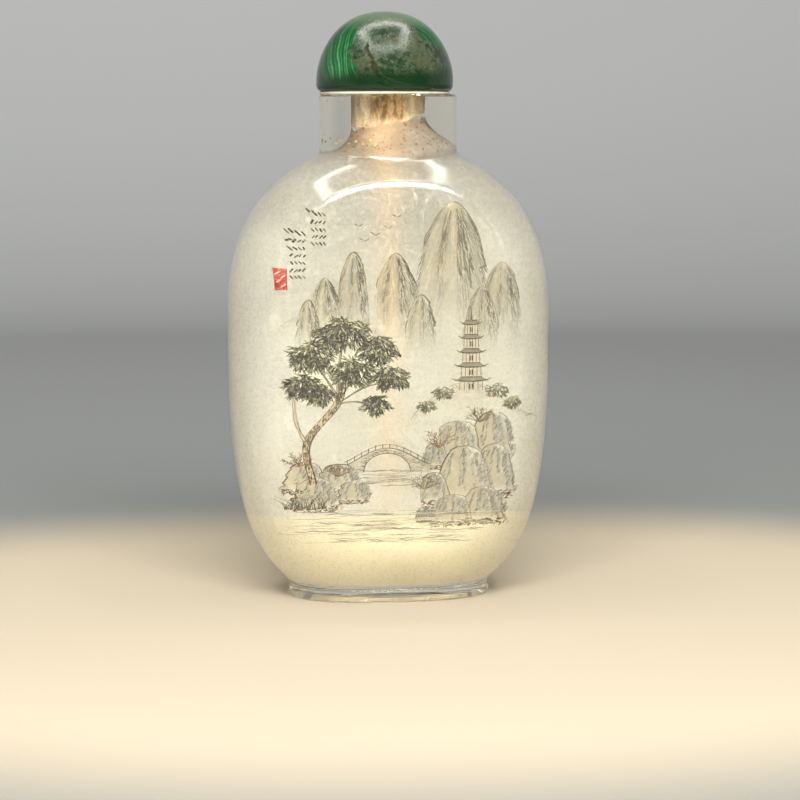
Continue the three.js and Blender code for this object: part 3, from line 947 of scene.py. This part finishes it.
# The turn from the right in degrees, the height, and how wide and how tall each is.
FLECKS = (
    (-171, 62.5, 0.45, 0.75), (-142, 62.7, 0.55, 0.45), (-133, 62.2, 0.50, 0.15), (-113, 62.7, 0.35, 0.40),
    (-109, 62.1, 0.20, 0.55), (-77, 68.6, 0.60, 0.30), (-54, 68.7, 0.75, 0.22), (-48, 62.4, 0.25, 0.30),
    (-30, 62.3, 0.30, 0.35), (-14, 62.5, 0.22, 0.50), (-149, 68.5, 0.20, 0.30), (-140, 68.1, 0.22, 0.25),
    (-137, 68.8, 0.30, 0.18), (40, 62.6, 0.40, 0.30), (95, 62.4, 0.50, 0.25), (130, 68.6, 0.30, 0.30),
    (-163, 62.4, 0.60, 0.30), (-155, 62.9, 0.35, 0.30), (-147, 62.2, 0.60, 0.20), (-139, 62.9, 0.25, 0.35),
    (-126, 62.5, 0.45, 0.20), (-120, 62.2, 0.25, 0.25), (-166, 63.3, 0.18, 0.30), (-24, 63.4, 0.25, 0.25),
    (-36, 64.0, 0.15, 0.18), (-160, 67.9, 0.22, 0.30), (-66, 68.2, 0.20, 0.22), (-18, 68.6, 0.28, 0.20),
)


def fleck(turn, z, width, height, seed):
    """A flat crumb on the neck: points round an oval that bulges by sines, a little proud of the glass."""
    around = np.linspace(0, 2 * np.pi, FLECK_CORNERS, endpoint=False)
    bulge = 1 + 0.25 * np.sin(3 * around + seed) + 0.15 * np.sin(5 * around + 2 * seed)
    angle = math.radians(turn) + 0.5 * width * bulge * np.cos(around) / NECK_RADIUS
    radius = NECK_RADIUS + FLECK_PROUD
    up = z + 0.5 * height * bulge * np.sin(around)
    return np.stack([radius * np.cos(angle), radius * np.sin(angle), up], -1)


def dried_dirt():
    """Dried dirt, from dark red-brown to mustard."""
    look = Finish("dried_dirt")
    tone = look.between(look.noise(look.place(), 160.0, detail=1.0), 0.42, 0.56)
    colour = look.mix(tone, (0.08, 0.035, 0.015), (0.24, 0.17, 0.05))
    return look.principled({"Base Color": colour, "Roughness": 0.8})


crumbs = np.concatenate([fleck(*spec, seed) for seed, spec in enumerate(FLECKS)])
crumb_faces = np.arange(len(crumbs)).reshape(-1, FLECK_CORNERS).tolist()
neck_flecks = mesh_object("neck_flecks", crumbs, crumb_faces)
neck_flecks.data.materials.append(dried_dirt())
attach(neck_flecks, "root")

# ---- The cork ----
# A plug cut from bark cork and pressed into the bore. Where it is pressed against the glass it is
# seen magnified through the whole neck; below that it hangs free, stained brown by snuff.

cork_low, cork_high = (np.array(corner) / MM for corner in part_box("cork"))
CORK_RADIUS = cork_high[0]
PRESS_Z = 64.4  # it is pressed against the glass from here up
PRESS_RISE = 2.2  # and this much further up on its right
PRESS = 0.03  # how far its skin is pressed past the bore's surface
CORK_SIDES = 96


def crumbled(angle, z, size, depth):
    """A bumpy depth made of sines of the angle and the height, that never repeats within the piece."""
    total = 0
    for step in range(1, 5):
        total = total + np.sin(angle * (2 * step + 1) + z * size * step + 1.7 * step) / step
        total = total + np.sin(z * size * 1.7 * step - angle * (step + 1) + 0.6 * step) / step
    return depth * total / 4


def cork_radius(angle, z):
    """A little more than the bore, down to an edge that is higher on the right, then a crumbling plug."""
    start = PRESS_Z + PRESS_RISE * np.maximum(0, np.cos(angle)) ** 6
    free = CORK_RADIUS - 0.05 + crumbled(angle, z, 2.3, 0.04)
    free = free - 0.5 * soft_step(-z, -cork_low[2] - 1.2, -cork_low[2])
    pressed = soft_step(z, start - 0.2, start)
    return free + (BORE_RADIUS + PRESS - free) * pressed


def bark_cork():
    """Cork bark: pale tan, brown to the front in a band of snuff stain and painted shade, streaky, with dark
    pores, pinker where it hangs free.
    """
    look = Finish("bark_cork")
    place = look.place()
    streaks = look.noise(look.stretched(place, (1, 1, 0.30)), 1300.0, detail=5.0, roughness=0.7)
    height = look.axis(place, "Z")
    off_middle = (look.axis(place, "X") + 0.0004).maths("ABSOLUTE")
    # Snuff stain and painted shade: brown at the top, in a band down the middle, as the cork looks through
    # the bore.
    stain_and_painted_band = look.between(off_middle, 0.0024, 0.0012) * look.between(height, 0.0645, 0.0660)
    tan = look.mix(look.between(streaks, 0.3, 0.7), (0.29, 0.225, 0.13), (0.56, 0.46, 0.32))
    brown = look.mix(look.between(streaks, 0.40, 0.66), (0.09, 0.05, 0.018), (0.42, 0.27, 0.12))
    pink = look.mix(look.between(streaks, 0.35, 0.7), (0.28, 0.15, 0.07), (0.66, 0.44, 0.27))
    colour = look.mix(stain_and_painted_band, tan, brown)
    colour = look.mix(look.between(height + streaks * 0.0012, 0.0662, 0.0645), colour, pink)
    pores = look.between(look.cells(place, 2300.0), 0.26, 0.14)
    colour = look.mix(pores * 0.75, colour, (0.13, 0.06, 0.02))
    values = {"Base Color": colour, "Roughness": 0.85, "Normal": look.bump(streaks, 0.5, 0.0002)}
    return look.principled(values)


cork_heights = np.linspace(cork_low[2], LIP_Z, 90)
cork = solid("cork_plug", [ring(z, cork_radius, CORK_SIDES, shift=0) for z in cork_heights])
cork.data.materials.append(bark_cork())
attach(cork, "root")
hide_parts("cork")

# ---- The spoon ----
# A small scoop carved from a strip of bone and pushed into the underside of the cork. It hangs
# behind the ground glass, where it only shows as a faint warm streak, a glow painted on the wall.


def worn_bone():
    """Bone, ivory with fine lengthwise grain, stained by snuff."""
    look = Finish("worn_bone")
    grain = look.noise(look.stretched(look.place(), (1, 1, 0.08)), 4000.0)
    colour = look.mix(look.between(grain, 0.3, 0.7), (0.52, 0.34, 0.17), (0.80, 0.66, 0.45))
    return look.principled({"Base Color": colour, "Roughness": 0.5, "Normal": look.bump(grain, 0.3, 0.0001)})


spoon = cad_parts["spoon"]
spoon.material_slots[0].material = worn_bone()

# ---- The collar ----
# A thin pale disc between the lip and the stone, cemented to both, its rim rounded by wear.

collar_low, collar_high = (np.array(corner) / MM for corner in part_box("collar"))
CAP_X = (collar_low[0] + collar_high[0]) / 2  # collar and dome sit a little off centre
COLLAR_RADIUS = (collar_high[0] - collar_low[0]) / 2
CAP_SIDES = 192


def turned(profile, sides, centre_x=0.0, wobble=None):
    """Rings made by turning rows of (radius, height) about an upright axis, with a wobble in the radius."""
    angle = turns(sides)
    r, z = (profile[:, column, None] * np.ones(sides) for column in (0, 1))
    if wobble is not None:
        r = r * wobble(angle, z)
    return np.stack([centre_x + r * np.cos(angle), r * np.sin(angle), z], -1)


def collar_profile():
    """A half circle round the rim, from under the disc to its top."""
    half = (collar_high[2] - collar_low[2]) / 2
    tilt = np.linspace(-1, 1, 9) * np.pi / 2
    rim = line(COLLAR_RADIUS - half * (1 - np.cos(tilt)), collar_low[2] + half * (1 + np.sin(tilt)))
    return np.concatenate([[[COLLAR_RADIUS / 2, collar_low[2]]], rim, [[COLLAR_RADIUS / 2, collar_high[2]]]])


def pale_collar():
    """Ivory-coloured composition, unevenly yellowed, with a trace of cement."""
    look = Finish("pale_collar")
    patches = look.noise(look.place(), 500.0, detail=4.0)
    colour = look.mix(look.between(patches, 0.4, 0.7), (0.27, 0.25, 0.195), (0.20, 0.15, 0.085))
    worn = look.bump(patches, 0.4, 0.0001)
    return look.principled({"Base Color": colour, "Roughness": 0.5, "Normal": worn})


def collar_wobble(angle, z):
    """A rim worn a hundredth of a millimetre here and there, never outwards."""
    return 1 - 0.002 * (1 + np.sin(3 * angle + 1) * np.sin(8 * angle))


collar = solid("collar_disc", turned(collar_profile(), CAP_SIDES, CAP_X, collar_wobble))
collar.data.materials.append(pale_collar())
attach(collar, "root")
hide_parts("collar")

# ---- The dome ----
# A cabochon of malachite, ground and polished from one lump: banded light and dark green, with a
# brown crack, dull patches and small open pits that the polish never reached.

dome_low, dome_high = (np.array(corner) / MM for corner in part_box("dome"))
DOME_RADIUS = (dome_high[0] - dome_low[0]) / 2
DOME_WIDEST_Z = 70.9
DOME_ROUNDING = 0.95  # of its lower edge
DOME_ACROSS = 2.3  # squareness of its crown, across
DOME_UP = 1.75  # and upwards
BAND_EYE = (0.0006, -0.0085, 0.0742)  # the point in metres that the stone's bands run round
BANDS = 5200.0  # radians of colour wave for each metre from it
FINE_BANDS = 13000.0
CRACK_OUT = 0.0076  # metres from the eye to the crack
GREENS = (
    (0.24, (0.0005, 0.010, 0.002)), (0.50, (0.002, 0.030, 0.007)),
    (0.66, (0.007, 0.050, 0.015)), (0.95, (0.046, 0.115, 0.056)),
)


def dome_profile():
    """A quarter circle round the lower edge, then a crown: a power of cosine across and of sine upwards."""
    edge = np.linspace(0, 1, 12) * np.pi / 2
    edge_r = DOME_RADIUS - DOME_ROUNDING * (1 - np.sin(edge))
    edge_z = dome_low[2] + DOME_ROUNDING * (1 - np.cos(edge))
    crown = np.linspace(0, 1, 90)[:-1] * np.pi / 2
    crown_r = DOME_RADIUS * np.cos(crown) ** (2 / DOME_ACROSS)
    crown_z = DOME_WIDEST_Z + (dome_high[2] - DOME_WIDEST_Z) * np.sin(crown) ** (2 / DOME_UP)
    inner = [[DOME_RADIUS / 2, dome_low[2]]]
    return np.concatenate([inner, line(edge_r, edge_z), line(crown_r, crown_z)])


def dome_wobble(angle, z):
    """A hand-ground form: a hundredth flatter here and there, never outwards."""
    return 1 - 0.004 * (1 + np.sin(2 * angle + 0.9) * np.sin(5 * angle + 0.5 * z))


def malachite():
    """Malachite: bands by the distance from an eye, a dull mottled middle with a crack, pits, a dark rim of
    painted shade, and a crown of painted sheen.
    """
    look = Finish("malachite")
    place = look.place()
    bend = look.noise(place, 110.0, detail=2.0)
    fine = look.noise(place, 1500.0, detail=4.0, roughness=0.7)
    patches = look.noise(look.stretched(place, (0.8, 1, 1.3)), 260.0, detail=4.0, roughness=0.6)
    eye = look.distance(place, BAND_EYE)
    out = eye + bend * 0.0035
    bands = (out * BANDS).maths("SINE")
    lines = (out * FINE_BANDS).maths("SINE")
    level = bands * 0.10 + lines * 0.12 + fine * 0.35 + bend * 0.62
    colour = look.node("ValToRGB", {"stops": GREENS}, {"Fac": level})
    height = look.axis(place, "Z")
    side = look.axis(place, "X")
    upper_right = look.between(side, 0.0005, 0.0050) * look.between(height, 0.0745, 0.0770)
    dull = look.between(eye + patches * 0.006 + upper_right * 0.0035, 0.0114, 0.0092)
    mottled = look.between(fine * 0.6 + patches * 0.4, 0.40, 0.60)
    grey = look.mix(mottled, (0.004, 0.008, 0.003), (0.027, 0.035, 0.022))
    olive = look.mix(look.between(patches, 0.48, 0.60) * 0.6, grey, (0.022, 0.021, 0.009))
    colour = look.mix(dull * 0.9, colour, olive)
    off_line = (out - CRACK_OUT + patches * 0.0030).maths("ABSOLUTE")
    crack = look.between(off_line, 0.00050, 0.00010) * look.between(side, 0.0030, -0.0010)
    crack = crack * look.between(height, 0.0760, 0.0745)
    colour = look.mix(crack * 0.9, colour, (0.010, 0.009, 0.002))
    pits = look.between(look.cells(place, 1900.0), 0.30, 0.16) * look.between(patches, 0.48, 0.60) * dull
    colour = look.mix(pits * 0.8, colour, (0.006, 0.010, 0.004))
    # Painted shade: the stone is painted darker all round its lower edge.
    rim = look.between(height + bend * 0.0050 - patches * 0.0012, 0.0748, 0.0728)
    colour = look.mix(rim * 0.95, colour, (0.0001, 0.007, 0.001))
    # Painted sheen: the crown is painted paler and greyer.
    colour = look.mix(look.between(height, 0.0772, 0.0796) * 0.6, colour, (0.062, 0.078, 0.050))
    relief = look.bump(fine * 0.3 - pits - crack, 0.35, 0.0003)
    values = {"Base Color": colour, "Roughness": dull * 0.08 + pits * 0.4 + 0.15, "Normal": relief}
    return look.principled(values | {"IOR": 1.55, "Specular IOR Level": 0.45})


dome = solid("dome_stone", turned(dome_profile(), CAP_SIDES, CAP_X, dome_wobble))
dome.data.materials.append(malachite())
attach(dome, "root")
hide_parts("dome")

# ---- The studio ----
# A plain floor that curves up into a wall all round, a frame of soft tubes overhead, two soft lights
# in front, and the camera.

FLOOR_RADIUS = 450.0
COVE_RADIUS = 200.0
WALL_TOP = 900.0
FLOOR_Z = -0.02
# A warm pool of painted light lies on the floor round the bottle.
POOL_MIDDLE = (0.0, -0.020, 0.0)  # of the warm pool of paint, in metres
POOL_SCALE = (0.8, 1.0, 0.0)  # which makes a circle of the pool
FOOT_SCALE = (0.66, 1.0, 0.0)  # and of the foot's oval


def stage_rings():
    """A disc, a quarter circle up from its edge, and an upright wall."""
    flat = np.linspace(2, FLOOR_RADIUS, 12)
    curve = np.linspace(0, np.pi / 2, 24)[1:]
    r = np.concatenate([flat, FLOOR_RADIUS + COVE_RADIUS * np.sin(curve), [FLOOR_RADIUS + COVE_RADIUS]])
    z = np.concatenate([flat * 0, COVE_RADIUS * (1 - np.cos(curve)), [WALL_TOP]]) + FLOOR_Z
    return turned(line(r, z), 128)


def open_sheet(name, rings):
    """A mesh of quads between neighbouring rings, closed in the middle of the first ring alone."""
    count, sides = rings.shape[:2]
    a, b = neighbours(count, sides)
    quads = np.stack([a, a + sides, b + sides, b], -1).tolist()
    points = np.concatenate([rings.reshape(-1, 3), rings[:1].mean(1)])
    made = mesh_object(name, points, quads + fan(count * sides, *neighbours(2, sides)))
    made.data.shade_smooth()
    return made


def studio_paint():
    """Matt paint: a warm pool of painted light, palest in a spot of painted light under the foot, then grey,
    with painted light paler up the walls, and dark in front.
    """
    look = Finish("studio_paint")
    place = look.place()
    back = look.axis(place, "Y")
    across = (look.axis(place, "X") - 0.1).maths("ABSOLUTE")
    from_pool, from_foot = (
        look.distance(look.node("VectorMath", {"operation": "MULTIPLY"}, {0: place, 1: scale}), middle)
        for scale, middle in ((POOL_SCALE, POOL_MIDDLE), (FOOT_SCALE, (0.0, 0.0, 0.0)))
    )
    # Painted light: the grey is painted paler further back and up the walls.
    painted_light_climb = look.node("Math", {"operation": "MULTIPLY", "use_clamp": True}, {0: back, 1: 1.6}) ** 1.2
    colour = look.mix(painted_light_climb, (0.088, 0.092, 0.088), (0.308, 0.314, 0.314))
    for share, over in (
        (look.between(across, 0.26, 0.40), (0.29, 0.29, 0.28)),
        (look.between(back, -0.16, -0.30), (0.09, 0.09, 0.085)),
        # Painted light: a warm pool round the bottle.
        (look.between(from_pool, 0.115, 0.065), (0.238, 0.205, 0.152)),
        # Painted light: a pale warm spot under the foot, for light coming up through it.
        (look.between(from_foot, 0.0092, 0.0084), (0.90, 0.76, 0.48)),
    ):
        colour = look.mix(share, colour, over)
    return look.principled({"Base Color": colour, "Roughness": 0.9, "Specular IOR Level": 0.1})


stage = open_sheet("stage", stage_rings())
stage.data.materials.append(studio_paint())


def soft_light(name, place, turn, size, power, colour):
    """A rectangular area light, its place and its size in millimetres, hidden from the camera."""
    lamp = bpy.data.lights.new(name, "AREA")
    lamp.shape = "RECTANGLE"
    lamp.size, lamp.size_y = size[0] * MM, size[1] * MM
    lamp.energy = power
    lamp.color = colour
    made = bpy.data.objects.new(name, lamp)
    bpy.context.scene.collection.objects.link(made)
    made.location = np.array(place) * MM
    made.rotation_euler = turn
    made.visible_camera = False
    return made


def look_from(place, target):
    """The turn that points a light's or a camera's -Z axis from one place to another."""
    way = np.array(target, float) - np.array(place, float)
    pitch = math.atan2(way[2], math.hypot(way[0], way[1]))
    return (math.pi / 2 + pitch, 0.0, math.atan2(way[1], way[0]) - math.pi / 2)


# Four tubes of light in a rectangle overhead, a little towards the front.
FRAME_Z = 455.0
FRAME_MIDDLE = (-15.0, -91.0)
FRAME_HALF = (190.0, 182.0)
TUBE_WIDTH = 50.0
TUBE_POWER = 0.85
TUBE_COLOUR = (1.0, 0.98, 0.94)

for name, dx, dy in (("tube_front", 0, -1), ("tube_back", 0, 1), ("tube_left", -1, 0), ("tube_right", 1, 0)):
    place = (FRAME_MIDDLE[0] + dx * FRAME_HALF[0], FRAME_MIDDLE[1] + dy * FRAME_HALF[1], FRAME_Z)
    size = (TUBE_WIDTH, 2 * FRAME_HALF[1]) if dx else (2 * FRAME_HALF[0], TUBE_WIDTH)
    soft_light(name, place, (0, 0, 0), size, TUBE_POWER, TUBE_COLOUR)

# A large light that fills the front, and a low warm one that lights it from below. Neither is mirrored.
for name, place, target, size, power, colour in (
    ("front", (-50, -470, 330), (0, 0, 20), (500, 220), 14.0, (1, 1, 1)),
    ("low", (-20, -220, 14), (0, 0, 8), (300, 22), 0.95, (1.0, 0.90, 0.68)),
):
    soft_light(name, place, look_from(place, target), size, power, colour).visible_glossy = False

world = bpy.data.worlds.new("studio_air")
world.use_nodes = True
air = world.node_tree.nodes["Background"]
air.inputs["Color"].default_value = (0.80, 0.84, 0.88, 1.0)
air.inputs["Strength"].default_value = 0.22
bpy.context.scene.world = world
bpy.context.scene.view_settings.view_transform = "Standard"

CAMERA_DISTANCE = 372.6
CAMERA_Z = 66.0
CAMERA_TURN = math.radians(-9.0)
CAMERA_PITCH = math.radians(6.01)  # how far it looks down
AIM_TURN = math.radians(0.254)  # and how far past the bottle's axis
FOCAL_LENGTH = 121.8
SENSOR_WIDTH = 36.0

lens = bpy.data.cameras.new("camera")
lens.lens = FOCAL_LENGTH
lens.sensor_width = SENSOR_WIDTH
lens.clip_start = 0.01
camera = bpy.data.objects.new("camera", lens)
bpy.context.scene.collection.objects.link(camera)
camera.location = (
    CAMERA_DISTANCE * math.sin(CAMERA_TURN) * MM,
    -CAMERA_DISTANCE * math.cos(CAMERA_TURN) * MM,
    CAMERA_Z * MM,
)
camera.rotation_euler = (math.pi / 2 - CAMERA_PITCH, 0.0, CAMERA_TURN - AIM_TURN)
bpy.context.scene.camera = camera
